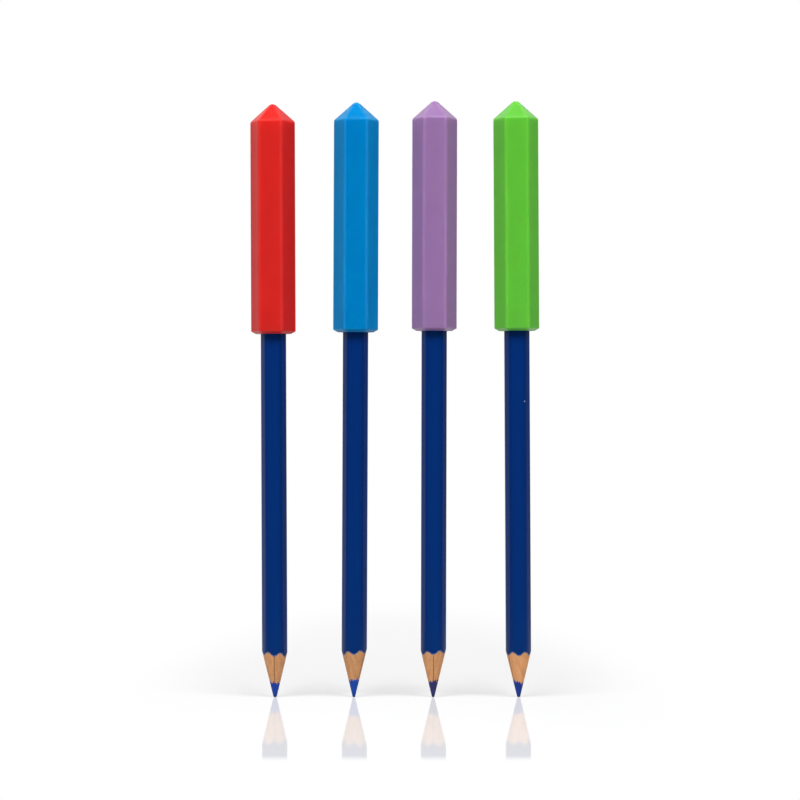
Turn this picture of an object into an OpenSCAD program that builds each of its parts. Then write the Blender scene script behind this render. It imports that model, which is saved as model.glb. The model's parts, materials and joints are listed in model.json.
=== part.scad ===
// Four six-sided coloured pencils standing on their points in a row.
// Each carries a six-sided silicone chewing topper that pulls off along the pencil.
// The middle of the row is at X = 0, the points stand on Z = 0, and a flat of each barrel faces -Y.

/* [Row] */
// Distance between neighbouring pencils in an even row
pitch = 23.9; // [15:0.1:50]
// How far each pencil's point stands to the right of its even place, left to right
point_shift = [0.65, 0.05, -0.55, 0.65]; // [-2:0.05:2]
// Sideways lean of each pencil, in degrees, positive towards +X at the top
lean = [-0.23, 0.23, 0.14, -0.29]; // [-1:0.01:1]
// Turn of each pencil about its own length, in degrees, which carries its glue line round
turn = [0, 60, 0, -60]; // [-180:60:180]
// Turn of each topper on its pencil, in degrees, which the soft socket takes up
twist = [-5, 0, 0, 0]; // [-10:1:10]
// Length of each pencil that shows below its topper
bare_length = [106.8, 107.3, 107.7, 107.7]; // [60:0.1:160]
// Rounding at the worn end of each core
worn_radius = [0.58, 0.43, 0.43, 0.53]; // [0.2:0.01:0.8]

/* [Topper] */
// Length of the topper from its mouth to the end of its point
topper_length = 67.6; // [52:0.1:100]
// Width of the topper across its flats
topper_flats = 11.7; // [10:0.1:16]
// Height of the six-sided point above its shoulder
point_height = 5.7; // [4:0.1:9]
// Rounding along the upright edges and the shoulder
edge_round = 1; // [0.3:0.05:1.5]
// Width of the bevel around the mouth
mouth_bevel = 1.2; // [0.3:0.05:2]
// Height of the bevel around the mouth
bevel_height = 0.75; // [0.3:0.05:2]
// Rounding at the end of the point
point_round = 1.6; // [0.5:0.05:2]
// Depth of the socket that takes the pencil
socket_depth = 40; // [15:0.5:44]
// Gap all round between the socket and the barrel
socket_gap = 0.08; // [0.02:0.01:0.3]
// Gap between the socket's end and the pencil's end
end_gap = 0.2; // [0.05:0.05:1]

/* [Pencil] */
// Width of the lacquered barrel across its flats
barrel_flats = 7; // [6:0.1:8.5]
// Rounding along the barrel's edges
barrel_round = 2; // [0.5:0.1:2.5]
// Thickness of the lacquer on the wood
lacquer = 0.1; // [0.05:0.01:0.3]
// Diameter of the coloured core
core_d = 3; // [2:0.1:4]
// Gap all round between the core and its groove in the slats
core_gap = 0.04; // [0.02:0.01:0.1]
// Thickness of the glue between the two slats
glue = 0.12; // [0.05:0.01:0.3]
// Angle between the sharpened cone and the pencil's axis, in degrees
sharpening = 13.6; // [10:0.1:20]

/* [Hidden] */
TOPPERS = ["red_topper", "blue_topper", "purple_topper", "green_topper"];
$fn = 48;
topper_colours = ["#d92a26", "#007cc4", "#9470a3", "#5fbf36"];
core_colours = ["#1f3f98", "#1546a8", "#2b2a66", "#1f3590"];
// A six-sided outline's corner radius for each unit of its half width across the flats
corner_ratio = 2 / sqrt(3);
wood_flats = barrel_flats - 2 * lacquer;
wood_round = barrel_round - lacquer;
// The blanks for the sharpening cut are wider than any barrel
blank_r = barrel_flats;
// Degrees between the points along a rounded corner
corner_step = 10;
// Half the turn between two neighbouring flats, in degrees
half_turn = 30;
// Steps along the worn end of a core
worn_steps = 6;
// Steps along the topper's rounded shoulder and end
shoulder_steps = 4;
end_steps = 5;
// Share of the half width that the corners take up at the rounded end of the topper
end_corner_share = 0.8;
// How far a cut runs past the face that it opens
overcut = 1;

function pencil_length(i) = bare_length[i] + socket_depth - end_gap;
function point_x(i) = (i - (len(point_shift) - 1) / 2) * pitch + point_shift[i];

// Puts a piece on pencil i in the row
module on_pencil(i) {
    translate([point_x(i), 0, 0])
        rotate([0, lean[i], 0])
            rotate(turn[i])
                children();
}

// Points round a six-sided outline with rounded corners and a flat facing -Y
function six_points(flats, round) =
    let (corner = (flats / 2 - round) * corner_ratio)
    [for (a = [0 : 60 : 300]) for (b = [-half_turn : corner_step : half_turn]) [
        corner * cos(a) + round * cos(a + b),
        corner * sin(a) + round * sin(a + b)
    ]];

module six_sided(flats, round) {
    polygon(six_points(flats, round));
}

// Rings up the topper, each as its half width, its height and its corner rounding per unit of half width
function topper_rings() =
    let (
        half = topper_flats / 2,
        corner_share = edge_round / half,
        run = half - edge_round,
        rise = point_height - point_round,
        slope = atan2(run, rise) + asin((edge_round - point_round) / norm([run, rise])),
        rim = [[half - mouth_bevel, 0, corner_share], [half, bevel_height, corner_share]],
        shoulder = [for (k = [0 : shoulder_steps])
            let (a = slope * k / shoulder_steps)
            [run + edge_round * cos(a), topper_length - point_height + edge_round * sin(a), corner_share]],
        end = [for (k = [0 : end_steps - 1])
            let (a = slope + (90 - slope) * k / end_steps)
            [point_round * cos(a), topper_length - point_round * (1 - sin(a)), end_corner_share]]
    )
    concat(rim, shoulder, end);

// Solid six-sided rod with a bevelled rim, a rounded shoulder and a rounded six-sided point
module topper_blank() {
    rings = topper_rings();
    around = len(six_points(topper_flats, edge_round));
    apex = len(rings) * around;
    points = [for (ring = rings) for (p = six_points(2 * ring[0], ring[0] * ring[2])) [p[0], p[1], ring[1]]];
    walls = [for (k = [0 : len(rings) - 2]) for (j = [0 : around - 1])
        let (
            low = k * around + j,
            low_next = k * around + (j + 1) % around,
            high = low + around,
            high_next = low_next + around
        )
        each [[low, high, high_next], [low, high_next, low_next]]];
    end = [for (j = [0 : around - 1]) [apex - around + j, apex, apex - around + (j + 1) % around]];
    polyhedron(
        points = concat(points, [[0, 0, topper_length]]),
        faces = concat([[for (j = [0 : around - 1]) j]], walls, end)
    );
}

// Space that a sharpener leaves for pencil i: a cone with a worn, rounded end, then a straight shank
module sharpened_space(i) {
    r = worn_radius[i];
    worn_end = [for (k = [0 : worn_steps])
        let (a = (90 - sharpening) * k / worn_steps) [r * sin(a), r - r * cos(a)]];
    cone_start = worn_end[worn_steps];
    cone_height = (blank_r - cone_start[0]) / tan(sharpening);
    rotate_extrude()
        polygon(concat(worn_end, [
            [blank_r, cone_start[1] + cone_height],
            [blank_r, pencil_length(i)],
            [0, pencil_length(i)]
        ]));
}

// Rod along the core of pencil i, or along its groove where the gap is added
module core_rod(i, gap) {
    cylinder(d = core_d + 2 * gap, h = pencil_length(i));
}

module topper(i) {
    color(topper_colours[i])
        on_pencil(i)
            translate([0, 0, bare_length[i]])
                difference() {
                    rotate(twist[i]) topper_blank();
                    translate([0, 0, -overcut])
                        linear_extrude(socket_depth + overcut)
                            six_sided(barrel_flats + 2 * socket_gap, barrel_round + socket_gap);
                }
}

module lacquer_coat(i) {
    color("#0a2f73")
        on_pencil(i)
            intersection() {
                linear_extrude(pencil_length(i))
                    difference() {
                        six_sided(barrel_flats, barrel_round);
                        six_sided(wood_flats, wood_round);
                    }
                sharpened_space(i);
            }
}

// Sharpened casing around the core, cut to the stretch from x0 to x1 across the glue line
module casing(i, x0, x1) {
    on_pencil(i)
        difference() {
            intersection() {
                linear_extrude(pencil_length(i))
                    six_sided(wood_flats, wood_round);
                sharpened_space(i);
                translate([x0, -blank_r, 0])
                    cube([x1 - x0, 2 * blank_r, pencil_length(i)]);
            }
            core_rod(i, core_gap);
        }
}

module left_slat(i) {
    color("#c9935f") casing(i, -blank_r, -glue / 2);
}

module right_slat(i) {
    color("#c08a5c") casing(i, glue / 2, blank_r);
}

module glue_line(i) {
    color("#6e4527") casing(i, -glue / 2, glue / 2);
}

module colour_core(i) {
    color(core_colours[i])
        on_pencil(i)
            intersection() {
                core_rod(i, 0);
                sharpened_space(i);
            }
}

for (i = [0 : len(TOPPERS) - 1]) {
    topper(i);
    lacquer_coat(i);
    left_slat(i);
    right_slat(i);
    glue_line(i);
    colour_core(i);
}
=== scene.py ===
import json
import math

import bpy
from mathutils import Matrix, Vector


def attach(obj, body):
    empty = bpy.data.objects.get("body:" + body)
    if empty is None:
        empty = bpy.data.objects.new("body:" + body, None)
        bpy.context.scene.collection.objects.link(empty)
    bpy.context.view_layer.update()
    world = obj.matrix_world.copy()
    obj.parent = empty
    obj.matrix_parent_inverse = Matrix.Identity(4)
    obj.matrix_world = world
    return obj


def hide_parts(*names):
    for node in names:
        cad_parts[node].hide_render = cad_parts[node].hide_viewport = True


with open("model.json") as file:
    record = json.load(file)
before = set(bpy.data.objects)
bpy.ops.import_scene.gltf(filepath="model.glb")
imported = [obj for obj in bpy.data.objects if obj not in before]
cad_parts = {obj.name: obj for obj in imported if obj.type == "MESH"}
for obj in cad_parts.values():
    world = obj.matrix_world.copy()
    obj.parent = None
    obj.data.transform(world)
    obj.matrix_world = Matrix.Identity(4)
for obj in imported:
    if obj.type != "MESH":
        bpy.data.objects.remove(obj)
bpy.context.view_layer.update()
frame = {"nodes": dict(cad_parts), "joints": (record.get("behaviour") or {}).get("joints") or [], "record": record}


# Coloured cores
# Each core is a 3 mm rod of pigment, wax and clay that was pressed through a die and dried. It lies glued
# between two slats of wood, was sharpened to a cone with them, and has worn round at its end.

mm = 0.001
toppers = ["red_topper", "blue_topper", "purple_topper", "green_topper"]
pencils = range(len(toppers))

# Turn of each pencil about its own length, which carries its seam round
turn = [math.radians(angle) for angle in (0, 60, 0, -60)]
# Angle between the sharpened cone and the pencil's axis
sharpening = math.radians(13.6)
# Rounding at the worn end of each core
worn_radius = [0.58 * mm, 0.43 * mm, 0.43 * mm, 0.53 * mm]
# How far to the right of the barrel's axis each pencil was sharpened, and each core lies
cone_shift = [0.07 * mm, -0.07 * mm, -0.06 * mm, 0]
core_shift = [0.02 * mm, -0.03 * mm, 0.04 * mm, -0.12 * mm]
# Teeth of the torn edge between core and wood: how many go round, and how far each stands out
core_teeth = [(7, 0.04 * mm), (13, 0.06 * mm), (22, 0.045 * mm)]
# Shift of the teeth's waves, in radians, from one pencil to the next
tooth_shift = 2
# How much larger each core is than its nominal radius
core_excess = [0.02 * mm, 0.11 * mm, 0.02 * mm, 0.03 * mm]
# Directions round a pencil in which its pieces have a row of points
rows_round = 144
# Steps from the middle of a core to its rim, and the power that crowds them towards the middle
core_steps = 14
core_crowding = 1.4
# Steps up the length of a piece
length_steps = 12
# Edges that turn by more than this are shaded as sharp ones
sharp_angle = math.radians(35)

grips = {mount["name"]: Vector(mount["pos_m"]) for mount in frame["record"]["mounts"]}
axes = {joint["child"]: Vector(joint["axis"]) for joint in frame["joints"]}


def upright(n, turned):
    """Where the point of pencil n stands, turned about Z."""
    axis = axes[toppers[n]]
    grip = grips[f"finger_grip_{n + 1}"]
    point = grip - axis * (grip.z / axis.z)
    return Matrix.Translation(point) @ Matrix.Rotation(turned, 4, "Z")


def standing(n):
    """Puts a piece that was made along +Z, up from the point, where pencil n leans and is turned."""
    lean = Vector((0, 0, 1)).rotation_difference(axes[toppers[n]]).to_matrix().to_4x4()
    return upright(n, 0) @ lean @ Matrix.Rotation(turn[n], 4, "Z")


def stand(name, mesh, n, turned):
    """An object for a mesh that was made along +Z. It stands upright, and its mesh leans with pencil n."""
    mesh.transform(upright(n, turned).inverted() @ standing(n))
    piece = bpy.data.objects.new(name, mesh)
    bpy.context.scene.collection.objects.link(piece)
    piece.matrix_world = upright(n, turned)
    return piece


def span(node, n, turned=0):
    """Lowest and highest corner of a CAD node along the axes of its pencil n, turned about its length."""
    inward = (standing(n) @ Matrix.Rotation(turned, 4, "Z")).inverted()
    points = [inward @ vertex.co for vertex in frame["nodes"][node].data.vertices]
    low = Vector(min(p[i] for p in points) for i in range(3))
    high = Vector(max(p[i] for p in points) for i in range(3))
    return low, high


core_r = span("colour_core_1", 0)[1].x
cut_end = [span(f"colour_core_{n + 1}", n)[1].z for n in pencils]


def row_angle(row):
    return 2 * math.pi * row / rows_round


def cone_height(n, x, y):
    """Height of pencil n's sharpened surface over (x, y): a worn ball that runs into a cone."""
    r = worn_radius[n]
    shift_x = cone_shift[n] * math.cos(turn[n])
    shift_y = -cone_shift[n] * math.sin(turn[n])
    out = math.hypot(x - shift_x, y - shift_y)
    ball_edge = r * math.cos(sharpening)
    if out < ball_edge:
        return r - math.sqrt(r * r - out * out)
    return r * (1 - math.sin(sharpening)) + (out - ball_edge) / math.tan(sharpening)


def core_radius(n, angle):
    """Radius of core n towards an angle. A tooth of 0.1 mm is drawn out to 0.4 mm along the cone."""
    seen = angle + turn[n]
    teeth = sum(height * math.sin(count * seen + tooth_shift * n + count) for count, height in core_teeth)
    return core_r + core_excess[n] + core_shift[n] * math.cos(seen) + teeth


def sharpened_piece(name, n, plan, closed, cone_slot=0):
    """A closed mesh that stands on pencil n's sharpened cone and runs up to its cut end.

    plan is its cross-section, in rows of points from the inside out, and closed joins its last row to its
    first. cone_slot is the material slot of the sharpened surface.
    """
    rows, last = len(plan), len(plan[0]) - 1
    # Rows that all start at the middle leave no inside wall
    hollow = plan[0][0] != plan[1][0]
    places, points, faces, slots = {}, [], [], []

    def point(row, k, step):
        x, y = plan[row % rows][k]
        if (x, y, step) not in places:
            low = cone_height(n, x, y)
            places[x, y, step] = len(points)
            points.append((x, y, low + (cut_end[n] - low) * step / length_steps))
        return places[x, y, step]

    def face(*corners, slot=0):
        ring = [point(*corner) for corner in corners]
        # Corners that fall on one point count once
        ring = [a for a, b in zip(ring, ring[1:] + ring[:1]) if a != b]
        faces.append(ring)
        slots.append(slot)

    for row in range(rows if closed else rows - 1):
        for k in range(last):
            face((row, k, 0), (row + 1, k, 0), (row + 1, k + 1, 0), (row, k + 1, 0), slot=cone_slot)
            top = length_steps
            face((row, k, top), (row, k + 1, top), (row + 1, k + 1, top), (row + 1, k, top))
        for step in range(length_steps):
            up = step + 1
            face((row, last, step), (row + 1, last, step), (row + 1, last, up), (row, last, up))
            if hollow:
                face((row, 0, step), (row, 0, up), (row + 1, 0, up), (row + 1, 0, step))
    if not closed:
        for k in range(last):
            for step in range(length_steps):
                up = step + 1
                face((0, k, step), (0, k + 1, step), (0, k + 1, up), (0, k, up))
                end = rows - 1
                face((end, k, step), (end, k, up), (end, k + 1, up), (end, k + 1, step))

    mesh = bpy.data.meshes.new(name)
    mesh.from_pydata(points, [], faces)
    mesh.polygons.foreach_set("material_index", slots)
    mesh.shade_smooth()
    mesh.set_sharp_from_angle(angle=sharp_angle)
    return stand(name, mesh, n, turn[n])


def linear(colour):
    """The linear colour of an sRGB hex value."""
    parts = [int(colour[i:i + 2], 16) / 255 for i in (1, 3, 5)]
    return [c / 12.92 if c <= 0.04045 else ((c + 0.055) / 1.055) ** 2.4 for c in parts] + [1]


def add(tree, kind, values, **settings):
    """Adds a node with its settings. Each value is set on its socket, or linked to it if it is an output."""
    node = tree.nodes.new(kind)
    for setting, value in settings.items():
        setattr(node, setting, value)
    for socket, value in values.items():
        if isinstance(value, bpy.types.NodeSocket):
            tree.links.new(value, node.inputs[socket])
        else:
            node.inputs[socket].default_value = value
    return node.outputs


def blank_material(name):
    """A new material, its node tree, and the coordinates of the piece that it is on."""
    material = bpy.data.materials.new(name)
    material.use_nodes = True
    tree = material.node_tree
    tree.nodes.clear()
    return material, tree, add(tree, "ShaderNodeTexCoord", {})["Object"]


def blotches(tree, place, size, detail):
    """Noise whose light and dark places are about one size across."""
    return add(tree, "ShaderNodeTexNoise", {"Vector": place, "Scale": 1 / size, "Detail": detail})["Fac"]


def streaks(tree, place, wide, long, detail):
    """Noise that is drawn out along the pencil."""
    drawn_out = add(tree, "ShaderNodeMapping", {
        "Vector": place, "Scale": (1 / wide, 1 / wide, 1 / long)})["Vector"]
    return blotches(tree, drawn_out, size=1, detail=detail)


def mixed(tree, share, first, second):
    """The first colour where the share is 0, and the second where it is 1."""
    # A Mix node's colour sockets are its inputs 6 and 7 and its output 2
    return add(tree, "ShaderNodeMix", {0: share, 6: first, 7: second}, data_type="RGBA")[2]


def pressed_pigment(name, colour, worn_colour):
    """Pigment and wax pressed through a die: fine streaks, a soft sheen and a darker end where worn."""
    material, tree, place = blank_material(name)
    streak = streaks(tree, place, wide=0.2 * mm, long=3 * mm, detail=3)
    # Specks of unmixed pigment
    speck = blotches(tree, place, size=0.15 * mm, detail=2)
    light = add(tree, "ShaderNodeMapRange", {
        "Value": streak, "From Min": 0.3, "From Max": 0.7, "To Min": 0.82, "To Max": 1.2})["Result"]
    toned = add(tree, "ShaderNodeVectorMath", {
        0: linear(colour)[:3], "Scale": light}, operation="SCALE")["Vector"]
    height = add(tree, "ShaderNodeSeparateXYZ", {"Vector": place})["Z"]
    worn = add(tree, "ShaderNodeMapRange", {
        "Value": height, "From Min": 0.1 * mm, "From Max": 1.1 * mm, "To Min": 0.8, "To Max": 0})["Result"]
    shade = mixed(tree, worn, toned, linear(worn_colour))
    rough = add(tree, "ShaderNodeMapRange", {"Value": speck, "To Min": 0.36, "To Max": 0.58})["Result"]
    bump = add(tree, "ShaderNodeBump", {"Height": streak, "Strength": 0.3, "Distance": 0.03 * mm})["Normal"]
    surface = add(tree, "ShaderNodeBsdfPrincipled", {
        "Base Color": shade, "Roughness": rough, "Normal": bump,
        "IOR": 1.45, "Specular IOR Level": 0.2})["BSDF"]
    add(tree, "ShaderNodeOutputMaterial", {"Surface": surface})
    return material


core_colours = ["#183e9d", "#1147a5", "#2e3064", "#12368e"]
worn_colours = ["#16276a", "#112a72", "#191a40", "#17255f"]

for n in pencils:
    shares = [(k / core_steps) ** core_crowding for k in range(core_steps + 1)]
    plan = []
    for row in range(rows_round):
        angle = row_angle(row)
        rim = core_radius(n, angle)
        plan.append([(rim * s * math.cos(angle), rim * s * math.sin(angle)) for s in shares])
    core = sharpened_piece(f"core_{n + 1}", n, plan, closed=True)
    core.data.materials.append(pressed_pigment(f"pressed_pigment_{n + 1}", core_colours[n], worn_colours[n]))
    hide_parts(f"colour_core_{n + 1}")
    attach(core, f"pencil_{n + 1}")


# Wood slats
# Two grooved slats of straight-grained cedar make each casing. They were glued together round the core,
# planed to six sides, lacquered and cut square at the end, and the sharpener bared the wood at the point.

glue_film = 0.12 * mm
# Room between a core and the wood of its groove, and between the wood and the lacquer
seat_gap = 0.01 * mm
wood_half = span("left_slat_1", 0)[1].y
# Rounding along the edges of the bare wood
wood_round = 1.9 * mm
# Steps from the core to the outside of the wood
wood_steps = 20
# Turn from one side of a six-sided piece to the next
side_turn = math.pi / 3
# A six-sided outline's corner radius for each unit of its half width across the flats
corner_ratio = 2 / math.sqrt(3)


def barrel_radius(half, rounding, angle):
    """Radius of a six-sided outline with rounded corners towards an angle. half reaches to its flats."""
    off_corner = abs((angle + side_turn / 2) % side_turn - side_turn / 2)
    centre = (half - rounding) * corner_ratio
    arc_end = math.atan2(rounding * math.sin(side_turn / 2), centre + rounding * math.cos(side_turn / 2))
    if off_corner > arc_end:
        return half / math.cos(side_turn / 2 - off_corner)
    return centre * math.cos(off_corner) + math.sqrt(rounding ** 2 - (centre * math.sin(off_corner)) ** 2)


def planed_cedar(name, early, late, ring_angle, lightness):
    """Cedar cut along its grain: straight fibres, bands of late wood, short dark pores and a matte surface.

    Glue has soaked into the wood along the seam, where it shows as a darker line.
    """
    material, tree, place = blank_material(name)
    # Fibres, drawn about eight times as coarse as they are
    fibre = streaks(tree, place, wide=0.4 * mm, long=14 * mm, detail=4)
    pore_noise = streaks(tree, place, wide=0.15 * mm, long=1.5 * mm, detail=1)
    pore = add(tree, "ShaderNodeMapRange", {
        "Value": pore_noise, "From Min": 0.64, "From Max": 0.74, "To Max": 0.5})["Result"]
    # Growth rings, each darkening slowly to its late wood and then starting again
    ring_width = 1.3 * mm
    ring_wander = 40 * mm
    across = add(tree, "ShaderNodeMapping", {
        "Vector": place, "Rotation": (0, 0, ring_angle),
        "Scale": (1 / ring_width, 1 / ring_width, 1 / ring_wander)})["Vector"]
    wander = add(tree, "ShaderNodeTexNoise", {"Vector": across, "Scale": 0.6, "Detail": 2})["Fac"]
    ring_x = add(tree, "ShaderNodeSeparateXYZ", {"Vector": across})["X"]
    ring_at = add(tree, "ShaderNodeMath", {0: ring_x, 1: wander}, operation="ADD")["Value"]
    ring_part = add(tree, "ShaderNodeMath", {0: ring_at}, operation="FRACT")["Value"]
    ring = add(tree, "ShaderNodeMapRange", {
        "Value": ring_part, "From Min": 0.35, "From Max": 0.95, "To Max": 0.4},
        interpolation_type="SMOOTHSTEP")["Result"]
    banded = mixed(tree, ring, linear(early), linear(late))
    light = add(tree, "ShaderNodeMapRange", {
        "Value": fibre, "From Min": 0.25, "From Max": 0.75,
        "To Min": 0.86 * lightness, "To Max": 1.12 * lightness})["Result"]
    fibrous = add(tree, "ShaderNodeVectorMath", {0: banded, "Scale": light}, operation="SCALE")["Vector"]
    stain = linear("#6b4427")
    pored = mixed(tree, pore, fibrous, stain)
    # The slats meet in the plane X = 0, and glue reaches 0.3 mm into each
    seam_x = add(tree, "ShaderNodeSeparateXYZ", {"Vector": place})["X"]
    seam_off = add(tree, "ShaderNodeMath", {0: seam_x}, operation="ABSOLUTE")["Value"]
    soaked = add(tree, "ShaderNodeMapRange", {
        "Value": seam_off, "From Min": 0.08 * mm, "From Max": 0.3 * mm, "To Min": 0.45, "To Max": 0},
        interpolation_type="SMOOTHSTEP")["Result"]
    shade = mixed(tree, soaked, pored, stain)
    rough = add(tree, "ShaderNodeMapRange", {"Value": fibre, "To Min": 0.6, "To Max": 0.82})["Result"]
    bump = add(tree, "ShaderNodeBump", {"Height": fibre, "Strength": 0.35, "Distance": 0.04 * mm})["Normal"]
    surface = add(tree, "ShaderNodeBsdfPrincipled", {
        "Base Color": shade, "Roughness": rough, "IOR": 1.5, "Normal": bump})["BSDF"]
    add(tree, "ShaderNodeOutputMaterial", {"Surface": surface})
    return material


# Early and late wood of the left and the right slat, which come from different boards
slat_woods = {"left": ("#e2a36d", "#ca8854"), "right": ("#dd9e69", "#c4824e")}
# How light the wood of each pencil is
wood_lightness = [0.91, 0.84, 0.94, 1.09]
# Direction of the growth rings, in radians, in the slats of the first pencil, and its turn to the next
ring_start = {"left": 1.0, "right": 0.4}
ring_turn = 0.9

for n in pencils:
    for side, (early, late) in slat_woods.items():
        # A slat reaches half way round, from the seam on one side of the core to the seam on the other
        first = rows_round // 4 if side == "left" else -rows_round // 4
        # The sign of X on the side of the seam that the slat keeps to
        keep_clear = -1 if side == "left" else 1
        plan = []
        for row in range(first, first + rows_round // 2 + 1):
            angle = row_angle(row)
            low = core_radius(n, angle) + seat_gap
            high = barrel_radius(wood_half, wood_round, angle)
            line = []
            for k in range(wood_steps + 1):
                radius = low + (high - low) * k / wood_steps
                x = keep_clear * max(keep_clear * radius * math.cos(angle), glue_film / 2)
                line.append((x, radius * math.sin(angle)))
            plan.append(line)
        slat = sharpened_piece(f"{side}_cedar_slat_{n + 1}", n, plan, closed=False)
        ring_angle = ring_start[side] + ring_turn * n
        wood = planed_cedar(f"planed_cedar_{side}_{n + 1}", early, late, ring_angle, wood_lightness[n])
        slat.data.materials.append(wood)
        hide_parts(f"{side}_slat_{n + 1}")
        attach(slat, f"pencil_{n + 1}")


# Glue lines
# A thin film of brown wood glue holds the two slats of each pencil together, one strip on each side of the
# core. It squeezed out when the slats were pressed, so the sharpener cut it flush with the wood.


def dried_wood_glue(name):
    """Wood glue that has dried brown: darker than the wood, a little glossy, uneven where it soaked in."""
    material, tree, place = blank_material(name)
    blotch = blotches(tree, place, size=0.8 * mm, detail=3)
    shade = mixed(tree, blotch, linear("#5a3720"), linear("#7d5232"))
    rough = add(tree, "ShaderNodeMapRange", {"Value": blotch, "To Min": 0.4, "To Max": 0.6})["Result"]
    bump = add(tree, "ShaderNodeBump", {"Height": blotch, "Strength": 0.2, "Distance": 0.02 * mm})["Normal"]
    surface = add(tree, "ShaderNodeBsdfPrincipled", {
        "Base Color": shade, "Roughness": rough, "IOR": 1.48, "Normal": bump})["BSDF"]
    add(tree, "ShaderNodeOutputMaterial", {"Surface": surface})
    return material


glue_material = dried_wood_glue("dried_wood_glue")

for n in pencils:
    for side, angle in (("front", -math.pi / 2), ("back", math.pi / 2)):
        low = core_radius(n, angle) + seat_gap
        high = barrel_radius(wood_half, wood_round, angle)
        facing = math.sin(angle)
        radii = [low + (high - low) * k / wood_steps for k in range(wood_steps + 1)]
        plan = []
        for x in (glue_film / 2, -glue_film / 2):
            plan.append([(x * facing, radius * facing) for radius in radii])
        strip = sharpened_piece(f"{side}_glue_strip_{n + 1}", n, plan, closed=False)
        strip.data.materials.append(glue_material)
        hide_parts(f"glue_line_{n + 1}")
        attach(strip, f"pencil_{n + 1}")


# Lacquer coats
# Each barrel was drawn through dark blue lacquer several times over a pale primer. Sharpening cut the film
# to a scalloped edge, lowest in the middle of each flat, where the primer shows as a pale line.

lacquer_half = span("lacquer_coat_1", 0)[1].y
# Rounding along the edges of the lacquered barrel
lacquer_round = 2 * mm


def drawn_lacquer(name, pale_spot=None):
    """Nitro lacquer drawn on in thin coats: deep colour under a clear gloss, with faint ripples lengthways.

    The second argument is where the film has a small pale spot, if it has one.
    """
    material, tree, place = blank_material(name)
    # Ripples left by the die that wiped the lacquer
    ripple = streaks(tree, place, wide=1.2 * mm, long=30 * mm, detail=2)
    # Fine orange peel
    peel = blotches(tree, place, size=0.9 * mm, detail=1)
    shade = mixed(tree, ripple, linear("#002262"), linear("#012a6e"))
    if pale_spot:
        # A small pale spot painted on the film, fading out between 0.1 and 0.28 mm from the given place
        off = add(tree, "ShaderNodeVectorMath", {0: place, 1: pale_spot}, operation="DISTANCE")["Value"]
        spot_share = add(tree, "ShaderNodeMapRange", {
            "Value": off, "From Min": 0.1 * mm, "From Max": 0.28 * mm, "To Min": 0.6, "To Max": 0})["Result"]
        shade = mixed(tree, spot_share, shade, linear("#b9c4cc"))
    rough = add(tree, "ShaderNodeMapRange", {"Value": peel, "To Min": 0.3, "To Max": 0.38})["Result"]
    bump = add(tree, "ShaderNodeBump", {"Height": ripple, "Strength": 0.12, "Distance": 0.08 * mm})["Normal"]
    surface = add(tree, "ShaderNodeBsdfPrincipled", {
        "Base Color": shade, "Roughness": rough, "IOR": 1.5, "Normal": bump,
        "Specular IOR Level": 0.18, "Specular Tint": linear("#89e7ff")})["BSDF"]
    add(tree, "ShaderNodeOutputMaterial", {"Surface": surface})
    return material


def cut_primer(name):
    """The film's cut edge: chalky primer, a little smeared with blue, which gives a pale broken line."""
    material, tree, place = blank_material(name)
    smear = blotches(tree, place, size=0.5 * mm, detail=2)
    blue = add(tree, "ShaderNodeMapRange", {
        "Value": smear, "From Min": 0.3, "From Max": 0.65, "To Max": 1})["Result"]
    shade = mixed(tree, blue, linear("#a08f90"), linear("#3c4674"))
    surface = add(tree, "ShaderNodeBsdfPrincipled", {
        "Base Color": shade, "Roughness": 0.65, "IOR": 1.5})["BSDF"]
    add(tree, "ShaderNodeOutputMaterial", {"Surface": surface})
    return material


primer = cut_primer("cut_primer")
plain_lacquer = drawn_lacquer("drawn_lacquer")
# The fourth barrel has a small pale spot half way up the row, on the rounded edge to the right of its front
spotted = 3
spot_height = 87 * mm
spot_angle = math.radians(-57) - turn[spotted]
spot_out = barrel_radius(lacquer_half, lacquer_round, spot_angle)
spot_on_barrel = Vector((spot_out * math.cos(spot_angle), spot_out * math.sin(spot_angle), spot_height))
spot_place = upright(spotted, turn[spotted]).inverted() @ standing(spotted) @ spot_on_barrel
spotted_lacquer = drawn_lacquer("drawn_lacquer_nicked", spot_place)

for n in pencils:
    plan = []
    for row in range(rows_round):
        angle = row_angle(row)
        radii = (
            barrel_radius(wood_half, wood_round, angle) + seat_gap,
            barrel_radius(lacquer_half, lacquer_round, angle),
        )
        plan.append([(radius * math.cos(angle), radius * math.sin(angle)) for radius in radii])
    coat = sharpened_piece(f"lacquer_{n + 1}", n, plan, closed=True, cone_slot=1)
    coat.data.materials.append(spotted_lacquer if n == spotted else plain_lacquer)
    coat.data.materials.append(primer)
    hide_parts(f"lacquer_coat_{n + 1}")
    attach(coat, f"pencil_{n + 1}")


# Toppers
# Each topper is one piece of food-grade silicone rubber, moulded with a blind six-sided socket that
# stretches over the barrel and grips it. Its mouth is bevelled, and its edges and point are rounded.

# Turn of each topper on its pencil, which the soft socket takes up
twist = [math.radians(angle) for angle in (-5, 0, 0, 0)]
# Rounding along the upright edges and the shoulder
edge_round = 1.0 * mm
# Width and height of the bevel around the mouth, and the rounding of its edges
mouth_bevel = 1.2 * mm
bevel_height = 0.75 * mm
bevel_round = 0.3 * mm
# Height of the point above its shoulder, and the rounding at its end
point_height = 5.7 * mm
point_round = 1.6 * mm
# Share of the half width that the corners take up at the rounded end of the point
end_corner_share = 0.8
socket_depth = 40 * mm
socket_gap = 0.08 * mm
# Rounding of the socket's inner lip and of its floor
lip_round = 0.35 * mm
# How far the middle of each flat sank as the silicone cooled
flat_sink = 0.04 * mm
# Share of white painted on the rounded edges, the shoulder and the bevel: a painted highlight
edge_painted_highlight = 0.01
pure_white = (1, 1, 1, 1)
# Steps round each corner and along each flat
corner_steps = 6
flat_steps = 8
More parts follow.
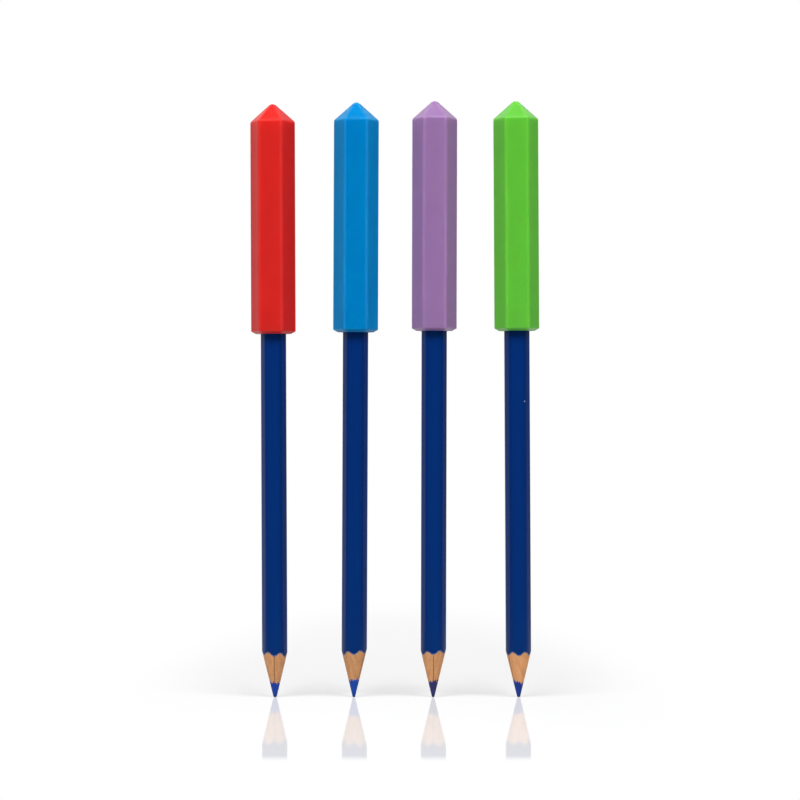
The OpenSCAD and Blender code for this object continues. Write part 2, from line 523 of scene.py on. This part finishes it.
# Steps along each round stretch of the profile, and along its straight ones
arc_steps = 8
floor_steps = 4
wall_steps = 16
mouth_steps = 4
bevel_steps = 3
slope_steps = 8


def arc(centre, radius, start, stop):
    """Points along a round stretch of a profile, each as a half width and a height."""
    angles = [math.radians(start + (stop - start) * k / arc_steps) for k in range(arc_steps + 1)]
    return [(centre[0] + radius * math.cos(a), centre[1] + radius * math.sin(a)) for a in angles]


def straight(start, stop, steps):
    """Points between two ends of a straight stretch of a profile."""
    return [tuple(a + (b - a) * k / steps for a, b in zip(start, stop)) for k in range(1, steps)]


def six_sided_ring(half, height, corner_share, sink, turned):
    """Points round a six-sided outline, turned about Z, with round corners and flats sunk in the middle."""
    rounding = half * corner_share
    corner = (half - rounding) * corner_ratio
    ring = []

    def on_corner(side, a):
        out = Vector((corner + rounding * math.cos(a), rounding * math.sin(a), height))
        return Matrix.Rotation(side * side_turn + turned, 4, "Z") @ out

    for side in range(6):
        for k in range(corner_steps + 1):
            ring.append(on_corner(side, side_turn * (k / corner_steps - 0.5)))
        flat_start = ring[-1]
        flat_end = on_corner(side + 1, -side_turn / 2)
        outward = Matrix.Rotation((side + 0.5) * side_turn + turned, 4, "Z") @ Vector((1, 0, 0))
        for k in range(1, flat_steps):
            share = k / flat_steps
            # A curve that is 1 in the middle of the flat and 0 at its ends
            sunk = 4 * share * (1 - share)
            ring.append(flat_start.lerp(flat_end, share) - outward * sink * sunk)
    return ring


def topper_mesh(name, n):
    """Topper n as rings of points: down its socket, round its mouth and up its outside to the end."""
    low, high = span(toppers[n], n, twist[n])
    mouth, top, half = low.z, high.z, high.y

    # Profile of the socket, from the middle of its floor to its lip
    socket_half = lacquer_half + socket_gap
    socket_end = mouth + socket_depth
    floor_arc = arc((socket_half - lip_round, socket_end - lip_round), lip_round, 90, 0)
    lip_arc = arc((socket_half + lip_round, mouth + lip_round), lip_round, 180, 270)
    socket = straight((0, socket_end), floor_arc[0], floor_steps) + floor_arc
    socket += straight(floor_arc[-1], lip_arc[0], wall_steps) + lip_arc

    # Profile of the bevelled rim
    bevel_lean = math.atan2(bevel_height, mouth_bevel)
    bevel_faces = math.degrees(bevel_lean) - 90
    low_x = half - mouth_bevel - bevel_round * math.tan(bevel_lean / 2)
    high_z = mouth + bevel_height + bevel_round * math.tan(math.pi / 4 - bevel_lean / 2)
    low_edge = arc((low_x, mouth + bevel_round), bevel_round, -90, bevel_faces)
    high_edge = arc((half - bevel_round, high_z), bevel_round, bevel_faces, 0)
    rim = low_edge + straight(low_edge[-1], high_edge[0], bevel_steps) + high_edge
    mouth_face = straight(lip_arc[-1], rim[0], mouth_steps)

    # Profile of the wall, the rounded shoulder and the rounded end of the point
    run = half - edge_round
    rise = point_height - point_round
    slope = math.atan2(run, rise) + math.asin((edge_round - point_round) / math.hypot(run, rise))
    shoulder_arc = arc((run, top - point_height), edge_round, 0, math.degrees(slope))
    end_arc = arc((0, top - point_round), point_round, math.degrees(slope), 90)
    outside = rim + straight(rim[-1], shoulder_arc[0], wall_steps) + shoulder_arc

    # The corners and the turn go over from those of the socket to those of the outside across the mouth
    socket_corner = (lacquer_round + socket_gap) / socket_half
    wall_corner = edge_round / half
    rings = [six_sided_ring(h, z, socket_corner, 0, 0) for h, z in socket]
    for k, (h, z) in enumerate(mouth_face):
        share = (k + 1) / (len(mouth_face) + 1)
        corner_share = socket_corner + (wall_corner - socket_corner) * share
        rings.append(six_sided_ring(h, z, corner_share, 0, twist[n] * share))
    first_outside = len(rings)
    rings += [six_sided_ring(h, z, wall_corner, flat_sink, twist[n]) for h, z in outside]
    first_slope = len(rings)
    slope_foot = rings[-1]
    end = [six_sided_ring(h, z, end_corner_share, flat_sink * h / half, twist[n]) for h, z in end_arc[:-1]]
    for k in range(1, slope_steps):
        rings.append([foot.lerp(tip, k / slope_steps) for foot, tip in zip(slope_foot, end[0])])
    rings += end

    around = len(rings[0])
    points = [p for ring in rings for p in ring] + [Vector((0, 0, socket_end)), Vector((0, 0, top))]
    floor_point, end_point = len(points) - 2, len(points) - 1
    faces = []
    for j in range(around):
        after = (j + 1) % around
        faces.append((floor_point, after, j))
        for k in range(len(rings) - 1):
            here, above = k * around, (k + 1) * around
            faces.append((here + j, here + after, above + after, above + j))
        last = (len(rings) - 1) * around
        faces.append((last + j, last + after, end_point))
    mesh = bpy.data.meshes.new(name)
    mesh.from_pydata(points, [], faces)
    mesh.shade_smooth()

    # Painted highlight: the bevel, the shoulder and the rounded corners are painted a little towards white
    highlight_rings = set(range(first_outside, first_outside + len(rim) - 1))
    highlight_rings |= set(range(first_slope - len(shoulder_arc) + 1, first_slope))
    painted_highlight = mesh.attributes.new("painted_highlight", "FLOAT", "POINT")
    for k in range(first_outside, len(rings)):
        for j in range(around):
            on_edge = 0 < j % (corner_steps + flat_steps) < corner_steps
            painted_highlight.data[k * around + j].value = edge_painted_highlight if k in highlight_rings or on_edge else 0
    return mesh


def moulded_silicone(name, colour, deep_colour, gloss, sheen):
    """Silicone from a fine-textured mould: satin and faintly cloudy, with a painted highlight on its edges."""
    material, tree, place = blank_material(name)
    cloud = blotches(tree, place, size=7 * mm, detail=3)
    # The mould's grain, drawn coarse enough to show
    grain = blotches(tree, place, size=0.35 * mm, detail=3)
    mottle = add(tree, "ShaderNodeMapRange", {
        "Value": cloud, "From Min": 0.3, "From Max": 0.7, "To Min": 0, "To Max": 0.5})["Result"]
    clouded = mixed(tree, mottle, linear(colour), linear(deep_colour))
    # Painted highlight: the colour is mixed towards white where the mesh marks the edges, shoulder and bevel
    painted_highlight = add(tree, "ShaderNodeAttribute", {}, attribute_name="painted_highlight")["Fac"]
    shade = mixed(tree, painted_highlight, clouded, pure_white)
    rough = add(tree, "ShaderNodeMapRange", {"Value": grain, "To Min": 0.3, "To Max": 0.42})["Result"]
    bump = add(tree, "ShaderNodeBump", {"Height": grain, "Strength": 0.12, "Distance": 0.03 * mm})["Normal"]
    # Light spreads about 6 mm inside the silicone, and red light the furthest
    surface = add(tree, "ShaderNodeBsdfPrincipled", {
        "Base Color": shade, "Roughness": rough, "IOR": 1.41, "Normal": bump,
        "Specular IOR Level": gloss, "Specular Tint": linear(sheen),
        "Subsurface Weight": 1, "Subsurface Radius": (1, 0.8, 0.7), "Subsurface Scale": 6 * mm})["BSDF"]
    add(tree, "ShaderNodeOutputMaterial", {"Surface": surface})
    return material


# Each silicone's colour, the deeper colour of its clouding, how strongly it mirrors and its sheen's tint
silicones = [
    ("#cf2320", "#c51c1a", 0.22, "#ffcbaa"),
    ("#007fbe", "#0077b3", 0.1, "#59f3ff"),
    ("#9471a3", "#8c6a9b", 0.45, "#ffffff"),
    ("#5cba2d", "#56b129", 0.55, "#ffffff"),
]

for n in pencils:
    topper_name = f"silicone_{toppers[n]}"
    topper = stand(topper_name, topper_mesh(topper_name, n), n, 0)
    colour_name = toppers[n].split("_")[0]
    topper.data.materials.append(moulded_silicone(f"moulded_silicone_{colour_name}", *silicones[n]))
    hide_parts(toppers[n])
    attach(topper, toppers[n])


# Studio
# The row stands on a white, slightly glossy table in front of a white sweep. A softbox stands on either side
# of the camera, higher than the row.

# Half the width of the table, in metres
floor_reach = 6.0
# Half axes of the half oval of table behind the row that shows shadows
oval_wide = 88 * mm
oval_deep = 330 * mm
# Share of the oval's half axes at which it starts to fade into the white sweep
oval_fade = 0.5
# How far in front of the row the table still mirrors it, and how soon that fades
mirror_reach = 120 * mm
mirror_fade = 14 * mm
# How white the table is made in front of the row, and behind it, where shadows are faint in the photograph
front_white = 0.22
back_white = 0.46
# How far behind the row the table has grown that white
white_run = 35 * mm
# Gloss of the laminate, which mirrors the more the lower it is looked at
laminate_ior = 1.5
# Direction in which the sweep is whitest
sweep_back = (-0.2, 0.65, 0.73)


def sweep_white(tree, towards):
    """How white the sweep is in a direction: all to the camera, its back to mirrored and passed rays."""
    path = add(tree, "ShaderNodeLightPath", {})
    passed = add(tree, "ShaderNodeMath", {
        0: path["Is Glossy Ray"], 1: path["Is Transmission Ray"]}, operation="MAXIMUM")["Value"]
    back = add(tree, "ShaderNodeVectorMath", {0: towards, 1: sweep_back}, operation="DOT_PRODUCT")["Value"]
    share = add(tree, "ShaderNodeMapRange", {
        "Value": back, "From Min": 0, "From Max": 1}, interpolation_type="SMOOTHSTEP")["Result"]
    mirrored = add(tree, "ShaderNodeMath", {0: passed, 1: share}, operation="MULTIPLY")["Value"]
    return add(tree, "ShaderNodeMath", {0: mirrored, 1: path["Is Camera Ray"]}, operation="MAXIMUM")["Value"]


def white_table(name):
    """White laminate: it takes the soft shadows near the row, mirrors it faintly, and fades to white."""
    material, tree, place = blank_material(name)
    across = add(tree, "ShaderNodeSeparateXYZ", {"Vector": place})
    behind = add(tree, "ShaderNodeMapRange", {"Value": across["Y"], "From Max": oval_deep})["Result"]
    aside = add(tree, "ShaderNodeMath", {0: across["X"], 1: oval_wide}, operation="DIVIDE")["Value"]
    on_oval = add(tree, "ShaderNodeCombineXYZ", {"X": aside, "Y": behind})["Vector"]
    distance = add(tree, "ShaderNodeVectorMath", {0: on_oval}, operation="LENGTH")["Value"]
    near = add(tree, "ShaderNodeMapRange", {
        "Value": across["Y"], "From Max": white_run, "To Min": front_white, "To Max": back_white})["Result"]
    off_oval = add(tree, "ShaderNodeMapRange", {
        "Value": distance, "From Min": oval_fade, "From Max": 1, "To Min": near},
        interpolation_type="SMOOTHSTEP")["Result"]
    in_front = add(tree, "ShaderNodeMapRange", {
        "Value": across["Y"], "From Min": -mirror_reach, "From Max": mirror_fade - mirror_reach,
        "To Min": 1, "To Max": 0}, interpolation_type="SMOOTHSTEP")["Result"]
    far = add(tree, "ShaderNodeMath", {0: off_oval, 1: in_front}, operation="MAXIMUM")["Value"]
    towards = add(tree, "ShaderNodeVectorMath", {0: place}, operation="NORMALIZE")["Vector"]
    white = add(tree, "ShaderNodeMath", {
        0: far, 1: sweep_white(tree, towards)}, operation="MULTIPLY")["Value"]
    # The table throws less light back on the row than its own white would, and no mirrored light
    scattered = add(tree, "ShaderNodeLightPath", {})["Is Diffuse Ray"]
    colour = mixed(tree, scattered, linear("#f3f3f4"), linear("#b4b4b4"))
    matte = add(tree, "ShaderNodeBsdfDiffuse", {"Color": colour})["BSDF"]
    mirror = add(tree, "ShaderNodeBsdfGlossy", {"Color": pure_white, "Roughness": 0.05})["BSDF"]
    gloss = add(tree, "ShaderNodeFresnel", {"IOR": laminate_ior})["Fac"]
    mirrored = add(tree, "ShaderNodeMapRange", {"Value": scattered, "To Min": gloss, "To Max": 0})["Result"]
    surface = add(tree, "ShaderNodeMixShader", {0: mirrored, 1: matte, 2: mirror})["Shader"]
    glow = add(tree, "ShaderNodeEmission", {"Color": pure_white, "Strength": 1})["Emission"]
    faded = add(tree, "ShaderNodeMixShader", {0: white, 1: surface, 2: glow})["Shader"]
    add(tree, "ShaderNodeOutputMaterial", {"Surface": faded})
    return material


table_mesh = bpy.data.meshes.new("table")
corners = [(-floor_reach, -floor_reach, 0), (floor_reach, -floor_reach, 0),
           (floor_reach, floor_reach, 0), (-floor_reach, floor_reach, 0)]
table_mesh.from_pydata(corners, [], [(0, 1, 2, 3)])
table = bpy.data.objects.new("table", table_mesh)
bpy.context.scene.collection.objects.link(table)
table.data.materials.append(white_table("white_laminate"))

# The sweep is white behind the row, and the room in front of it is dim
sweep_light = 1
room_light = 0.03
world = bpy.data.worlds.new("white_sweep")
world.use_nodes = True
world.node_tree.nodes.clear()
tree = world.node_tree
direction = add(tree, "ShaderNodeTexCoord", {})["Generated"]
room = add(tree, "ShaderNodeBackground", {"Color": pure_white, "Strength": room_light})["Background"]
sweep = add(tree, "ShaderNodeBackground", {"Color": pure_white, "Strength": sweep_light})["Background"]
background = add(tree, "ShaderNodeMixShader", {0: sweep_white(tree, direction), 1: room, 2: sweep})["Shader"]
add(tree, "ShaderNodeOutputWorld", {"Surface": background})
bpy.context.scene.world = world

row_middle = Vector((0, 0, 90 * mm))
# Each softbox: its name, direction from the row, distance, width and height in metres, and power in watts
softboxes = [
    ("left_softbox", (-0.49, -0.6, 0.88), 2, 1.33, 0.83, 36.7),
    ("right_softbox", (0.49, -0.6, 0.88), 2, 1.33, 0.83, 34.8),
]
for name, direction, distance, width, height, power in softboxes:
    lamp = bpy.data.lights.new(name, "AREA")
    lamp.shape = "RECTANGLE"
    lamp.size = width
    lamp.size_y = height
    lamp.energy = power
    softbox = bpy.data.objects.new(name, lamp)
    bpy.context.scene.collection.objects.link(softbox)
    towards = Vector(direction).normalized()
    softbox.location = row_middle + towards * distance
    softbox.rotation_euler = towards.to_track_quat("Z", "Y").to_euler()

# The photograph was taken level, from about half the height of the row
camera_distance = 670 * mm
camera_place = Vector((1.6 * mm, -camera_distance, 87.4 * mm))
# Width of the picture where the row stands
picture_width = 235.3 * mm
lens = bpy.data.cameras.new("camera")
lens.sensor_width = 36
lens.lens = lens.sensor_width * camera_distance / picture_width
camera = bpy.data.objects.new("camera", lens)
bpy.context.scene.collection.objects.link(camera)
camera.location = camera_place
camera.rotation_euler = (math.pi / 2, 0, 0)
bpy.context.scene.camera = camera
bpy.context.scene.view_settings.view_transform = "Standard"
